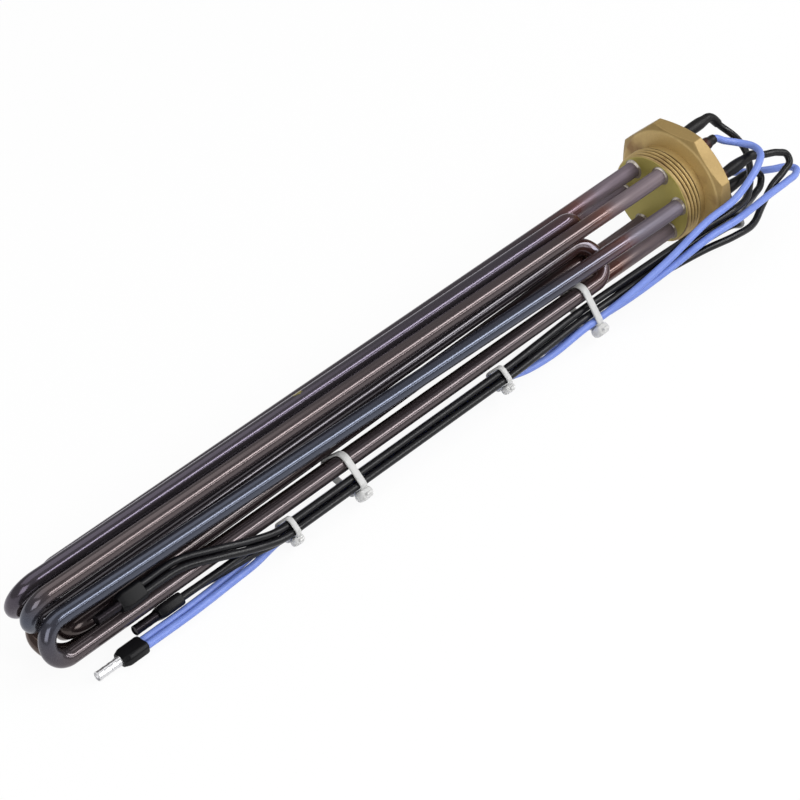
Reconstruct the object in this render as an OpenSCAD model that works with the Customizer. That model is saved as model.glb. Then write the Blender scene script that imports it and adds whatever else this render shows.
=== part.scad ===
// Screw plug immersion heater: a brass octagon plug that carries three folded tubular elements,
// with six leads looped back along the tubes and tied to them as packed for sale.
// Millimetres, +Z up. The plug's axis is X: the tubes reach towards -X, the leads leave at +X.
// The origin lies on that axis, in the head's seating face.

/* [Plug] */
// Width of the octagon head across its flats
head_af = 62; // [60:0.5:64]
// Thickness of the head
head_t = 10; // [9:0.5:11]
// Diameter of the flat left on each face of the head by the turned corner chamfer
head_face_d = 59; // [57:0.5:60]
// Angle of the corner chamfer
head_chamfer = 30; // [20:1:30]
// Outside diameter of the pipe thread
thread_d = 47.8; // [47:0.1:49]
// Length of the threaded part
thread_len = 10; // [9:0.5:12]
// Chamfer at both ends of the thread
thread_chamfer = 1.2; // [0.8:0.1:1.5]
// Diameter of the relief between head and thread
relief_d = 44.6; // [44:0.1:45]
// Width of the relief between head and thread
relief_w = 4; // [3:0.5:5]

/* [Elements] */
// Radius of the circle on which the six legs stand in the plug
leg_r = 17.3; // [17.2:0.05:17.4]
// Outside diameter of the element tube
tube_d = 8; // [7.6:0.1:8]
// Wall of the element tube
tube_wall = 0.7; // [0.5:0.1:0.9]
// Length of tube that stands out behind the head
tail_len = 4; // [3:0.5:5]
// Shift of all the far bends away from the plug
reach = 0; // [-20:1:0]
// Diameter of the resistance coil and of the terminal pins
core_d = 3; // [2.4:0.1:3.2]
// How far the cold terminal pin goes in from the head's seating face
pin_in = 20; // [17:0.5:20]
// Width of the braze fillet at the foot of each leg
braze_w = 1.3; // [1:0.1:2]
// Height of the braze fillet at the foot of each leg
braze_h = 1.3; // [1:0.1:2.5]

/* [Terminals] */
// Depth of the end seal inside the tube
seal_in = 3; // [2:0.5:4]
// Length of the end seal outside the tube
seal_out = 1.5; // [1:0.5:1.5]
// Bare pin between the end seal and the crimp barrel
pin_gap = 1; // [0.5:0.5:1]
// Outside diameter of the crimp barrel
crimp_d = 4.4; // [4.2:0.1:4.6]
// Length of the crimp barrel
crimp_len = 9; // [8:0.5:9]
// Depth of the pin in the crimp barrel
crimp_grip = 5; // [4:0.5:6]
// Wall of the sleeve over the terminal
sleeve_wall = 0.8; // [0.6:0.1:1]

/* [Leads] */
// Outside diameter of a lead over its insulation
lead_d = 3.7; // [3.4:0.1:3.7]
// Width of the collar of a twin wire ferrule
collar_w = 9.4; // [9:0.1:9.6]
// Thickness of the collar of a twin wire ferrule
collar_t = 6.2; // [5.8:0.1:6.4]
// Length of the collar of a twin wire ferrule
collar_len = 14; // [12:0.5:15]
// Outside diameter of the ferrule's tube
ferrule_d = 4.8; // [4.2:0.1:5]
// Length of the ferrule's tube beyond its collar
ferrule_len = 13; // [10:0.5:15]
// Depth of the ferrule's tube inside its collar
ferrule_in = 6; // [4:0.5:8]

/* [Cable ties] */
// Width of the strap of the two large ties
tie_w = 3.6; // [3:0.1:4.5]
// Width of the strap of the two small ties
small_tie_w = 2.6; // [2.2:0.1:3.2]
// Thickness of a strap
tie_t = 1.2; // [0.9:0.1:1.3]
// Slack between a strap and what it holds
tie_slack = 0.3; // [0.3:0.05:0.5]
// Side of the head of a large tie
tie_head = 7.5; // [7:0.1:8]
// Side of the head of a small tie
small_tie_head = 5.8; // [5.5:0.1:6.5]

/* [Hidden] */
$fn = 48;

brass = [0.70, 0.57, 0.34];
silver = [0.80, 0.79, 0.76];
oxide = [0.25, 0.20, 0.21];
chalk = [0.90, 0.88, 0.84];
nichrome = [0.45, 0.43, 0.42];
steel = [0.62, 0.62, 0.63];
black = [0.08, 0.08, 0.09];
blue = [0.50, 0.58, 0.84];
nylon = [0.90, 0.90, 0.86];

// Faces along the plug's axis
front_x = -(relief_w + thread_len);
tail_x = head_t + tail_len;
fill_x = tail_x - seal_in;
seal_x = tail_x + seal_out;
crimp_x = seal_x + pin_gap;
lead_x = crimp_x + crimp_len;
tube_bore = tube_d - 2 * tube_wall;

// The six legs go round the axis in sixths of a turn, A to F
leg_phase = 48;
function leg_yz(k) = leg_r * [cos(leg_phase + 60 * k), sin(leg_phase + 60 * k)];

// The bundle's own frame: u goes down and to the -Y side, w goes up and to the -Y side, s goes along the tubes
bundle_turn = 222;
bundle_frame = [
  [0, 0, -1, 0],
  [cos(bundle_turn), sin(bundle_turn), 0, 0],
  [sin(bundle_turn), -cos(bundle_turn), 0, 0],
  [0, 0, 0, 1]
];
function at(s, u, w) = [
  -s,
  u * cos(bundle_turn) + w * sin(bundle_turn),
  u * sin(bundle_turn) - w * cos(bundle_turn)
];

// Where the runs of each element stand at its bends, as [u, w], and how far along the tubes the bends reach.
// Each element: its two legs, first far bend, near bend, second far bend.
leg_bend_s = 28;
leg_bend_r = 500;
bend_share = 0.97;
elements = [
  [5, 0, 425, [-10.7, -15.1], [-17.6, 5.1], 62.5, [-14.7, 11.3], [-3, -3.9], 408, [0, -10.4], [-18.1, -3.5]],
  [2, 1, 430, [1.2, 13.7], [17.8, 2.7], 62, [17.5, 5.7], [-2.5, 5.8], 429, [-1.2, -1.3], [-9.7, 15.9]],
  [3, 4, 421, [16.4, -8.5], [-2.7, -18.2], 62, [-2.9, -18.2], [5.2, -0.4], 410, [9.4, -0.6], [6.8, -17]]
];
function leg_point(x, k) = [x, leg_yz(k)[0], leg_yz(k)[1]];
function bend_s(tip) = tip + reach - tube_d / 2;
function bend_point(s, p) = at(s, p[0], p[1]);
function element_route(e, end_x) = [
  leg_point(end_x, e[0]),
  leg_point(-leg_bend_s, e[0]),
  bend_point(bend_s(e[2]), e[3]),
  bend_point(bend_s(e[2]), e[4]),
  bend_point(e[5] + tube_d / 2, e[6]),
  bend_point(e[5] + tube_d / 2, e[7]),
  bend_point(bend_s(e[8]), e[9]),
  bend_point(bend_s(e[8]), e[10]),
  leg_point(-leg_bend_s, e[1]),
  leg_point(end_x, e[1])
];
function bend_r(p, q) = bend_share * norm(p - q) / 2;
function element_radii(e) = [
  leg_bend_r,
  bend_r(e[3], e[4]), bend_r(e[3], e[4]),
  bend_r(e[6], e[7]), bend_r(e[6], e[7]),
  bend_r(e[9], e[10]), bend_r(e[9], e[10]),
  leg_bend_r
];

// Sleeve ends behind the head, one for each leg A to F
sleeve_ends = [42, 26, 40, 44, 34, 32];

// Routes of the leads, from the crimp round the head and along the tubes
route_black_1 = [
  leg_point(lead_x, 0), leg_point(sleeve_ends[0] - 2, 0), leg_point(sleeve_ends[0] + 1, 0),
  [50, 8, 5.4], [53, 0.5, 0], [51, -7, -3.6], [45, -14.2, -6.2], [34, -23, -7.4], [21, -30.6, -5.4], [8, -33.9, -2.8],
  at(12, 26, 19), at(40, 25, 12.4), at(66, 24.6, 6.6),
  at(80, 24.4, 4.2), at(94, 24.4, 4.2), at(120, 25.2, 5), at(145, 26, 6), at(157, 26, 6), at(205, 26, 6),
  at(243, 26, 6), at(257, 26, 6), at(286, 26, 6), at(298, 26, 6), at(316, 22, 9), at(334, 16, 10.6),
  at(352, 10.4, 10.4), at(373.9, 9.8, 10.4)
];
route_black_2 = [
  leg_point(lead_x, 2), leg_point(sleeve_ends[2] - 2, 2), leg_point(sleeve_ends[2] + 1, 2),
  [50, -18.8, 0.6], [59, -20.8, -2], [63.6, -22.8, -4.8], [63.4, -24.8, -7.8], [58, -25.8, -10.2], [48, -26.6, -13],
  [35, -30.6, -16.2], [20, -36.4, -17.2], [5, -37.6, -15], at(14, 35, 13), at(40, 32, 6), at(66, 29, 0.6),
  at(80, 28.3, 0.3), at(94, 28.3, 0.3), at(120, 29.1, 1), at(145, 29.9, 2), at(157, 29.9, 2), at(205, 29.9, 2),
  at(243, 29.9, 2), at(257, 29.9, 2), at(286, 29.9, 2), at(298, 29.9, 2), at(314, 27.8, 1.3), at(330, 26.6, 0.5),
  at(346, 25.2, -0.5), at(356.9, 25, -0.5)
];
route_black_3 = [
  leg_point(lead_x, 3), leg_point(sleeve_ends[3] - 2, 3), leg_point(sleeve_ends[3] + 1, 3),
  [50.6, -12.6, -13.4], [53.6, -14.4, -16], [51.4, -16.4, -19], [44, -18.4, -20.4], [33, -22.4, -18.6], [20, -29.6, -13.2],
  [7, -34.2, -7.2], at(12, 28.8, 15.6), at(40, 28.6, 10.2), at(66, 28.4, 5.4),
  at(80, 28.3, 4.2), at(94, 28.3, 4.2), at(120, 29.1, 5), at(145, 29.9, 6), at(157, 29.9, 6), at(205, 29.9, 6),
  at(243, 29.9, 6), at(257, 29.9, 6), at(286, 29.9, 6), at(298, 29.9, 6), at(316, 26, 9), at(334, 20, 10.6),
  at(352, 14.4, 10.4), at(373.9, 13.6, 10.4)
];
route_black_4 = [
  leg_point(lead_x, 5), leg_point(sleeve_ends[5] + 1, 5),
  [42, 15, -9], [45, 8, -20], [41, -3, -25], [30, -17, -25], [18, -30.5, -18.5], [5, -33.8, -11],
  at(12, 31, 12), at(40, 26.8, 6.2), at(66, 24.8, 2.2),
  at(80, 24.4, 0.3), at(94, 24.4, 0.3), at(120, 25.2, 1), at(145, 26, 2), at(157, 26, 2), at(205, 26, 2),
  at(243, 26, 2), at(257, 26, 2), at(286, 26, 2), at(298, 26, 2), at(314, 25, 4.8), at(330, 25.2, 4.7),
  at(346, 25.1, 3.5), at(356.9, 25, 3.5)
];
route_blue_1 = [
  leg_point(lead_x, 1), leg_point(sleeve_ends[1] + 1, 1),
  [33, -7.4, 13], [39, -11.6, 10.4], [42, -18, 9.8], [39, -25, 10.6], [31, -30.4, 10.6], [20, -33.6, 8.2],
  [8, -34.8, 4.6], at(12, 24, 23.6), at(40, 28.6, 16.5), at(66, 31.4, 9),
  at(80, 32.2, 4.2), at(94, 32.2, 4.2), at(120, 33.4, -0.2), at(132, 32.4, -1.8),
  at(145, 29.9, -2), at(157, 29.9, -2), at(205, 29.9, -2), at(243, 29.9, -2), at(257, 29.9, -2), at(286, 29.9, -2),
  at(298, 29.9, -2), at(314, 31.8, -0.9), at(330, 32.4, 0.8), at(356, 33.1, 4.5), at(385, 33.1, 4.5)
];
route_blue_2 = [
  leg_point(lead_x, 4), leg_point(sleeve_ends[4] + 1, 4),
  [46, 2.6, -18.2], [56, -6.6, -18.6], [64, -14, -18], [69.6, -19.2, -17.2], [70.8, -23.2, -17], [66.6, -26.6, -16.2],
  [56, -29.4, -14], [39, -32.4, -10.8], [20, -36, -7.4], [5, -38.2, -5.2], at(12, 31, 20.5), at(40, 32.4, 12.4),
  at(66, 32.8, 4.6), at(80, 32.2, 0.3), at(94, 32.2, 0.3), at(106, 31.8, -2.4), at(120, 29.3, -3),
  at(145, 26, -2), at(157, 26, -2), at(205, 26, -2), at(243, 26, -2), at(257, 26, -2), at(286, 26, -2),
  at(298, 26, -2), at(314, 28, -2.8), at(330, 29.4, -2.2), at(356, 30.2, 1.8), at(385, 30.2, 1.8)
];

// Twin ferrules: start of the collar along the tubes, its middle as [u, w], and the turn of its wide side
ferrules = [
  [374, [11.7, 10.4], 0],
  [357, [25, 1.5], 90],
  [385, [31.6, 3.1], 42]
];

// Where each tie sits, how far up its head starts, and what it goes round, as [u, w, diameter]
tie_s = [87, 151, 250, 292];
tie_head_w = [-1, 0.5, 0.5, 0.5];
six_cells = [[26, 6, lead_d], [29.9, 6, lead_d], [26, -2, lead_d], [29.9, -2, lead_d]];
tie_held = [
  [[17.5, 5.5, tube_d], [17.1, -2.9, tube_d], [24.4, 4.2, lead_d], [32.2, 4.2, lead_d], [32.2, 0.3, lead_d], [24.4, 0.3, lead_d]],
  six_cells,
  concat([[17.6, 4.2, tube_d], [16.7, -5.6, tube_d]], six_cells),
  six_cells
];

// Small helpers for frames, rods and bends
function unit(v) = v / norm(v);
function across(v) = unit(abs(v[0]) < 0.9 * norm(v) ? cross(v, [1, 0, 0]) : cross(v, [0, 1, 0]));
function frame(o, x, y, z) = [
  [x[0], y[0], z[0], o[0]],
  [x[1], y[1], z[1], o[1]],
  [x[2], y[2], z[2], o[2]],
  [0, 0, 0, 1]
];
function turn_at(p, i) = acos(unit(p[i] - p[i - 1]) * unit(p[i + 1] - p[i]));
function setback(p, radii, i) = (i == 0 || i == len(p) - 1) ? 0 : radii[i - 1] * tan(turn_at(p, i) / 2);

module ring(d, bore) {
  difference() {
    circle(d = d, $fn = 32);
    circle(d = bore, $fn = 32);
  }
}

module straight(p, q, d) {
  z = unit(q - p);
  x = across(z);
  multmatrix(frame(p, x, cross(z, x), z)) cylinder(d = d, h = norm(q - p), $fn = 32);
}

module bend(p, q, r, radius, d) {
  in = unit(q - p);
  out = unit(r - q);
  angle = acos(in * out);
  start = q - in * radius * tan(angle / 2);
  inward = unit(out - (out * in) * in);
  centre = start + inward * radius;
  multmatrix(frame(centre, -inward, in, cross(-inward, in)))
    rotate_extrude(angle = angle, $fn = 64) translate([radius, 0]) circle(d = d, $fn = 32);
}

// A rod of one diameter along a route, with a bend at each inner point.
// A bend is thicker by bend_swell, and each straight goes into it by bend_lap, as where a bending die gripped it.
bend_swell = 0.06;
bend_lap = 0.3;
module bent(p, radii, d, past = 0) {
  last = len(p) - 1;
  for (i = [1 : last - 1]) bend(p[i - 1], p[i], p[i + 1], radii[i - 1], d + bend_swell);
  for (i = [0 : last - 1]) {
    way = unit(p[i + 1] - p[i]);
    from = setback(p, radii, i) - (i == 0 ? past : bend_lap);
    to = setback(p, radii, i + 1) - (i == last - 1 ? past : bend_lap);
    straight(p[i] + way * from, p[i + 1] - way * to, d);
  }
}

// A smooth line through the route's points, with its slope at each point set by its neighbours
function slope(p, i) =
  i == 0 ? unit(p[1] - p[0]) :
  i == len(p) - 1 ? unit(p[i] - p[i - 1]) :
  let (a = norm(p[i] - p[i - 1]), b = norm(p[i + 1] - p[i]))
  unit(unit(p[i + 1] - p[i]) * a + unit(p[i] - p[i - 1]) * b);
function blend(p, i, t) =
  let (l = norm(p[i + 1] - p[i]), a = t * t, b = t * t * t)
  (2 * b - 3 * a + 1) * p[i] + (b - 2 * a + t) * l * slope(p, i)
  + (3 * a - 2 * b) * p[i + 1] + (b - a) * l * slope(p, i + 1);
ring_step = 9;
end_straight = 0.2;
function line(p) = concat(
  [p[0], p[0] + end_straight * slope(p, 0)],
  [for (i = [0 : len(p) - 2])
    let (n = max(2, ceil(norm(p[i + 1] - p[i]) / ring_step)))
    for (k = [(i == 0 ? 1 : 0) : n - 1]) blend(p, i, k / n)],
  [p[len(p) - 1] - end_straight * slope(p, len(p) - 1), p[len(p) - 1]]
);
function heading(c, i) = unit(c[min(i + 1, len(c) - 1)] - c[max(i - 1, 0)]);
function square_to(v, t) = unit(v - (v * t) * t);
function sides(c) = [
  for (i = 0, v = across(heading(c, 0)); i < len(c); v = square_to(v, heading(c, min(i + 1, len(c) - 1))), i = i + 1) v
];

module swept(p, d, n = 8) {
  c = line(p);
  v = sides(c);
  points = [
    for (i = [0 : len(c) - 1])
      let (a = square_to(v[i], heading(c, i)), b = cross(heading(c, i), a))
      for (j = [0 : n - 1]) c[i] + d / 2 * (cos(360 * j / n) * a + sin(360 * j / n) * b)
  ];
  walls = [
    for (i = [0 : len(c) - 2])
      for (j = [0 : n - 1])
        [i * n + j, (i + 1) * n + j, (i + 1) * n + (j + 1) % n, i * n + (j + 1) % n]
  ];
  last = (len(c) - 1) * n;
  caps = [[for (j = [0 : n - 1]) j], [for (j = [n - 1 : -1 : 0]) last + j]];
  polyhedron(points = points, faces = concat(walls, caps), convexity = 6);
}

// Repeats a shape at each leg, turned so that its own Z runs along the plug's axis towards the leads
module at_legs(x) {
  for (k = [0 : 5]) translate(leg_point(x, k)) rotate([0, 90, 0]) children();
}

// Sub-parts

module head() {
  corner_r = head_af / 2 / cos(22.5) + 0.5;
  drop = (corner_r - head_face_d / 2) * tan(head_chamfer);
  rotate([0, 90, 0]) intersection() {
    rotate(22.5) cylinder(d = head_af / cos(22.5), h = head_t, $fn = 8);
    rotate_extrude($fn = 96) polygon([
      [0, 0], [head_face_d / 2, 0], [corner_r, drop],
      [corner_r, head_t - drop], [head_face_d / 2, head_t], [0, head_t]
    ]);
  }
}

module spigot() {
  r = thread_d / 2;
  rotate([0, -90, 0]) rotate_extrude($fn = 96) polygon([
    [0, 0], [relief_d / 2, 0], [relief_d / 2, relief_w], [r - thread_chamfer, relief_w],
    [r, relief_w + thread_chamfer], [r, relief_w + thread_len - thread_chamfer],
    [r - thread_chamfer, relief_w + thread_len], [0, relief_w + thread_len]
  ]);
}

module screw_plug() {
  color(brass) difference() {
    union() {
      head();
      spigot();
    }
    at_legs(front_x - 1) cylinder(d = tube_d, h = tail_x - front_x);
  }
}

module braze_rings() {
  r = tube_d / 2;
  color(silver) for (k = [0 : 5]) translate(leg_point(front_x, k)) rotate([0, -90, 0])
    rotate_extrude() polygon([
      [r, 0], [r + braze_w, 0], [r + braze_w * 0.55, braze_h * 0.2],
      [r + braze_w * 0.2, braze_h * 0.55], [r, braze_h]
    ]);
}

module element_sheath(i) {
  route = element_route(elements[i], tail_x);
  radii = element_radii(elements[i]);
  color(oxide) difference() {
    bent(route, radii, tube_d);
    bent(route, radii, tube_bore, 1);
  }
}

module magnesia_fill(i) {
  route = element_route(elements[i], fill_x);
  radii = element_radii(elements[i]);
  color(chalk) difference() {
    bent(route, radii, tube_bore);
    bent(route, radii, core_d, 1);
  }
}

module resistance_coil(i) {
  color(nichrome) bent(element_route(elements[i], -pin_in), element_radii(elements[i]), core_d);
}

module terminal_pins() {
  color(steel) at_legs(-pin_in) cylinder(d = core_d, h = crimp_x + crimp_grip + pin_in);
}

module end_seals() {
  color(chalk) at_legs(fill_x) rotate_extrude() polygon([
    [core_d / 2, 0], [tube_bore / 2, 0], [tube_bore / 2, seal_in], [tube_d / 2, seal_in],
    [tube_d / 2, seal_in + seal_out - 0.6], [tube_d / 2 - 0.6, seal_in + seal_out], [core_d / 2, seal_in + seal_out]
  ]);
}

module crimp_barrels() {
  color(steel) at_legs(crimp_x) difference() {
    cylinder(d = crimp_d, h = crimp_len);
    translate([0, 0, -1]) cylinder(d = core_d, h = crimp_grip + 1);
  }
}

module terminal_sleeves() {
  color(black) for (k = [0 : 5]) translate(leg_point(seal_x, k)) rotate([0, 90, 0])
    linear_extrude(height = sleeve_ends[k] - seal_x) ring(crimp_d + 2 * sleeve_wall, crimp_d);
}

module lead(route, paint) {
  color(paint) swept(route, lead_d);
}

module collar_outline(cut) {
  a = collar_w / 2;
  b = collar_t / 2;
  polygon([
    [-a, -b + cut], [-a + cut, -b], [a - cut, -b], [a, -b + cut],
    [a, b - cut], [a - cut, b], [-a + cut, b], [-a, b - cut]
  ]);
}

module ferrule_collar(f) {
  color(black) multmatrix(bundle_frame) translate([f[1][0], f[1][1], f[0]]) rotate(f[2]) difference() {
    union() {
      linear_extrude(height = collar_len - 3) collar_outline(1.4);
      translate([0, 0, collar_len - 3]) linear_extrude(height = 3, scale = 0.8) collar_outline(1.4);
    }
    translate([0, 0, collar_len - ferrule_in]) cylinder(d = ferrule_d, h = ferrule_in + 1, $fn = 32);
  }
}

module ferrule_tube(f) {
  color(steel) multmatrix(bundle_frame) translate([f[1][0], f[1][1], f[0] + collar_len - ferrule_in])
    cylinder(d = ferrule_d, h = ferrule_in + ferrule_len, $fn = 32);
}

module around(held, grow) {
  hull() for (h = held) translate([h[0], h[1]]) circle(d = h[2] + 2 * grow, $fn = 32);
}

// The strap closes on the outer side of the loom, where its head and the cut tail stand
module cable_tie(i, w, side) {
  held = tie_held[i];
  outer = max([for (h = held) h[0] + h[2] / 2]) + tie_slack;
  low = tie_head_w[i];
  color(nylon) multmatrix(bundle_frame) translate([0, 0, tie_s[i]]) {
    translate([0, 0, -w / 2]) linear_extrude(height = w) difference() {
      around(held, tie_slack + tie_t);
      around(held, tie_slack);
    }
    translate([outer, low, -side / 2]) difference() {
      cube([side * 0.75, side, side]);
      translate([side * 0.35, -1, side / 2 - w / 2 - 0.3]) cube([tie_t + 0.3, side * 0.55, w + 0.6]);
    }
    translate([outer + side * 0.35 + 0.15, low + side - 0.5, -w / 2]) cube([tie_t, side * 0.3, w]);
  }
}

screw_plug();
braze_rings();
element_sheath(0);  // element_sheath_1
element_sheath(1);  // element_sheath_2
element_sheath(2);  // element_sheath_3
magnesia_fill(0);  // magnesia_fill_1
magnesia_fill(1);  // magnesia_fill_2
magnesia_fill(2);  // magnesia_fill_3
resistance_coil(0);  // resistance_coil_1
resistance_coil(1);  // resistance_coil_2
resistance_coil(2);  // resistance_coil_3
terminal_pins();
end_seals();
crimp_barrels();
terminal_sleeves();
lead(route_black_1, black);  // lead_black_1
lead(route_black_2, black);  // lead_black_2
lead(route_black_3, black);  // lead_black_3
lead(route_black_4, black);  // lead_black_4
lead(route_blue_1, blue);  // lead_blue_1
lead(route_blue_2, blue);  // lead_blue_2
ferrule_collar(ferrules[0]);  // ferrule_collar_1
ferrule_collar(ferrules[1]);  // ferrule_collar_2
ferrule_collar(ferrules[2]);  // ferrule_collar_3
ferrule_tube(ferrules[0]);  // ferrule_tube_1
ferrule_tube(ferrules[1]);  // ferrule_tube_2
ferrule_tube(ferrules[2]);  // ferrule_tube_3
cable_tie(0, tie_w, tie_head);  // cable_tie_1
cable_tie(1, small_tie_w, small_tie_head);  // cable_tie_2
cable_tie(2, tie_w, tie_head);  // cable_tie_3
cable_tie(3, small_tie_w, small_tie_head);  // cable_tie_4
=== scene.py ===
# %% [markdown]
# # A screw plug immersion heater
# This heater screws into the wall of a tank. A brass plug carries three tubes, each folded to
# four runs, and six leads come out behind it, loop back and are tied along the tubes. The packed
# solids come first as a fixed frame in metres. Every visible piece is then built on that frame,
# and the solids that a piece stands for are hidden.

import math

import bpy
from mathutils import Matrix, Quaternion, Vector


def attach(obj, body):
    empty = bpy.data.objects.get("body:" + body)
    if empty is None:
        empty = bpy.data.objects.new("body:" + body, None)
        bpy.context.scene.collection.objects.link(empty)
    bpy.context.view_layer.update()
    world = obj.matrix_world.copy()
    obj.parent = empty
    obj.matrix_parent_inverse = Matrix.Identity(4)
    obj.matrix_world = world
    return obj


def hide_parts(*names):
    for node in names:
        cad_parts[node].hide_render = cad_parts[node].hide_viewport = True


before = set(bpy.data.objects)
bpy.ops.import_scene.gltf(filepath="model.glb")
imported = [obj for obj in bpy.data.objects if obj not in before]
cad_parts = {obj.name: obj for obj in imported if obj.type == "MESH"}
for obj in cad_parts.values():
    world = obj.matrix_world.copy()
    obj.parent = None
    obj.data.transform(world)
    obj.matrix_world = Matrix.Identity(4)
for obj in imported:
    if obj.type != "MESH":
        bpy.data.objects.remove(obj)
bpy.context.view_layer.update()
scene = bpy.context.scene
scene.view_settings.view_transform = "Standard"
MM = 0.001

# %% [markdown]
# ## Camera
# The picture was taken with a long lens from above and from the tubes' side, so lines hardly
# converge. A camera could be dragged into place by hand, but numbers can be corrected one at a
# time: this one is placed by where it looks, from which side and how far away. A small roll is
# left over because the heater doesn't lie quite level on its head.

# %% Camera
camera_azimuth = math.radians(-45.14)
camera_elevation = math.radians(39.03)
camera_roll = math.radians(-2.83)
camera_target = Vector((-195.2, 0, -14.4)) * MM
camera_distance = 1.6375
camera_sensor, camera_lens = 36, 158.9
back = Vector((
    math.sin(camera_azimuth) * math.cos(camera_elevation),
    -math.cos(camera_azimuth) * math.cos(camera_elevation),
    math.sin(camera_elevation),
))
camera = bpy.data.objects.new("camera", bpy.data.cameras.new("camera"))
camera.data.sensor_width = camera_sensor
camera.data.lens = camera_lens
camera.location = camera_target + back * camera_distance
camera.rotation_mode = "QUATERNION"
upright = (-back).to_track_quat("-Z", "Y")
camera.rotation_quaternion = upright @ Quaternion((0, 0, 1), camera_roll)
scene.collection.objects.link(camera)
scene.camera = camera
print("camera at", [round(c, 3) for c in camera.location])


# %% [markdown]
# ## Colours and shared effects
# Shaders work with linear light, while colours are picked as they look on a screen, so one helper
# turns one into the other. Surfaces that look the same all over give a model away. An image could
# break them up, but it needs a flat layout of every piece. Noise in a piece's own space needs
# none, so the effects that several materials share are node groups made of noise.

# %% Colour and node group helpers
def paint(red, green, blue):
    linear = [((c / 255 + 0.055) / 1.055) ** 2.4 for c in (red, green, blue)]
    return (*linear, 1)


def group_with(name, inputs, outputs):
    tree = bpy.data.node_groups.new(name, "ShaderNodeTree")
    for title, value in inputs:
        socket = tree.interface.new_socket(title, in_out="INPUT", socket_type="NodeSocketFloat")
        socket.default_value = value
    for title in outputs:
        tree.interface.new_socket(title, in_out="OUTPUT", socket_type="NodeSocketFloat")
    return tree, tree.nodes.new("NodeGroupInput"), tree.nodes.new("NodeGroupOutput")


def noise(tree, vector, scale, detail):
    node = tree.nodes.new("ShaderNodeTexNoise")
    node.inputs["Detail"].default_value = detail
    tree.links.new(vector, node.inputs["Vector"])
    tree.links.new(scale, node.inputs["Scale"])
    return node.outputs["Fac"]


print("screen grey 128 is", round(paint(128, 128, 128)[0], 3), "in linear light")

# %% [markdown]
# Nearly every surface here has broad blotches and a fine grain. The group puts out both as masks,
# and each material places it with its own two scales. Noise rarely comes near 0 or 1, so the
# range in which most of it lies gets a name, and finishes stretch that range to what they need.

# %% Blotches and grain
noise_range = (0.3, 0.7)
mottle, taken, given = group_with(
    "mottle", [("Broad Scale", 120), ("Fine Scale", 1500)], ["Broad", "Fine"])
place = mottle.nodes.new("ShaderNodeTexCoord").outputs["Object"]
for mask, detail in (("Broad", 4), ("Fine", 3)):
    cloud = noise(mottle, place, taken.outputs[mask + " Scale"], detail)
    mottle.links.new(cloud, given.inputs[mask])
print("mottle nodes", len(mottle.nodes))

# %% [markdown]
# Drawing a tube through a die leaves marks along it, and the oxide follows them. Scratches could
# be modelled, but they are far too fine. Noise that is squeezed along X gives the same streaks,
# because all runs of the tubes lie along X.

# %% Streaks along the tubes
streaks, taken, given = group_with(
    "streaks", [("Across Scale", 700), ("Along Share", 0.02), ("Blotch Scale", 45)],
    ["Streak", "Blotch"])
place = streaks.nodes.new("ShaderNodeTexCoord").outputs["Object"]
squeeze = streaks.nodes.new("ShaderNodeCombineXYZ")
squeeze.inputs["Y"].default_value = squeeze.inputs["Z"].default_value = 1
streaks.links.new(taken.outputs["Along Share"], squeeze.inputs["X"])
drawn = streaks.nodes.new("ShaderNodeVectorMath")
drawn.operation = "MULTIPLY"
streaks.links.new(place, drawn.inputs[0])
streaks.links.new(squeeze.outputs[0], drawn.inputs[1])
streak = noise(streaks, drawn.outputs[0], taken.outputs["Across Scale"], 3)
blotch = noise(streaks, place, taken.outputs["Blotch Scale"], 2)
streaks.links.new(streak, given.inputs["Streak"])
streaks.links.new(blotch, given.inputs["Blotch"])
print("node groups", [g.name for g in bpy.data.node_groups])

# %% [markdown]
# A material is a small tree of nodes. They could be placed one by one in the shader editor. These
# helpers place a node, set its values and join it, so that each finish below reads as a short
# recipe. A value that comes out of a node is joined, and a plain number or colour is set on the
# socket. The Mix node has sockets for each kind of data, so the ones for colours are named here.

# %% Material helpers
mix_first, mix_second, mix_result = 6, 7, 2


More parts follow.
